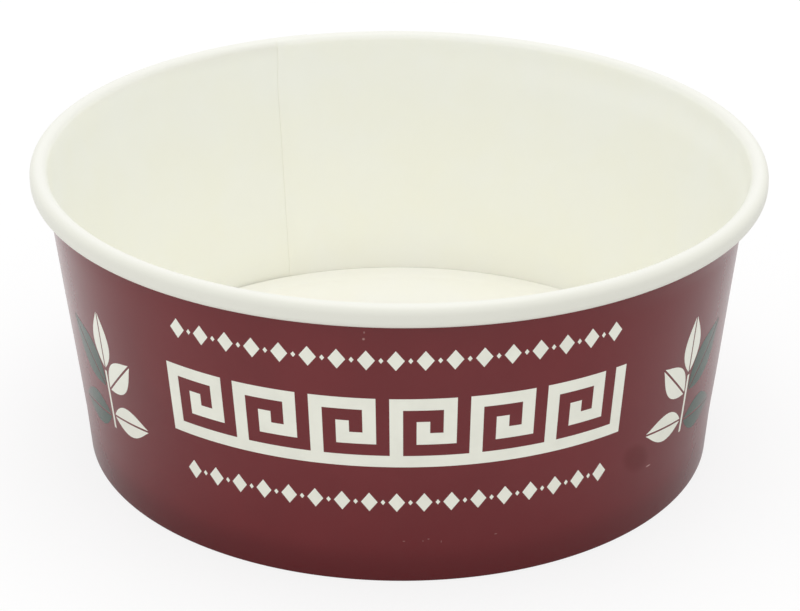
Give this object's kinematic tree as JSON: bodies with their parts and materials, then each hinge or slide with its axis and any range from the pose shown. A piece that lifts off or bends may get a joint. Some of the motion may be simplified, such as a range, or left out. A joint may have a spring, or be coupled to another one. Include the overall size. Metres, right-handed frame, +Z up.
{
  "type": "paper dessert cup",
  "caption": "Wide, low cup of coated board with a rolled rim, a lapped side seam and a folded foot that grips a pressed floor",
  "frame": {"origin": "on the table, at the middle of the foot", "axes": "+Z up through the mouth, -Y towards the viewer and the front of the print, +X to the viewer's right"},
  "size_m": [0.1503, 0.15, 0.062],
  "materials": {
    "printed_board": "board printed brownish red outside with a satin coat, bare cream inside and on the rolled rim",
    "floor_board": "cream board with a thin clear film"
  },
  "bodies": {
    "root": {"side_wall": "printed_board", "base_disc": "floor_board"}
  },
  "joints": []
}
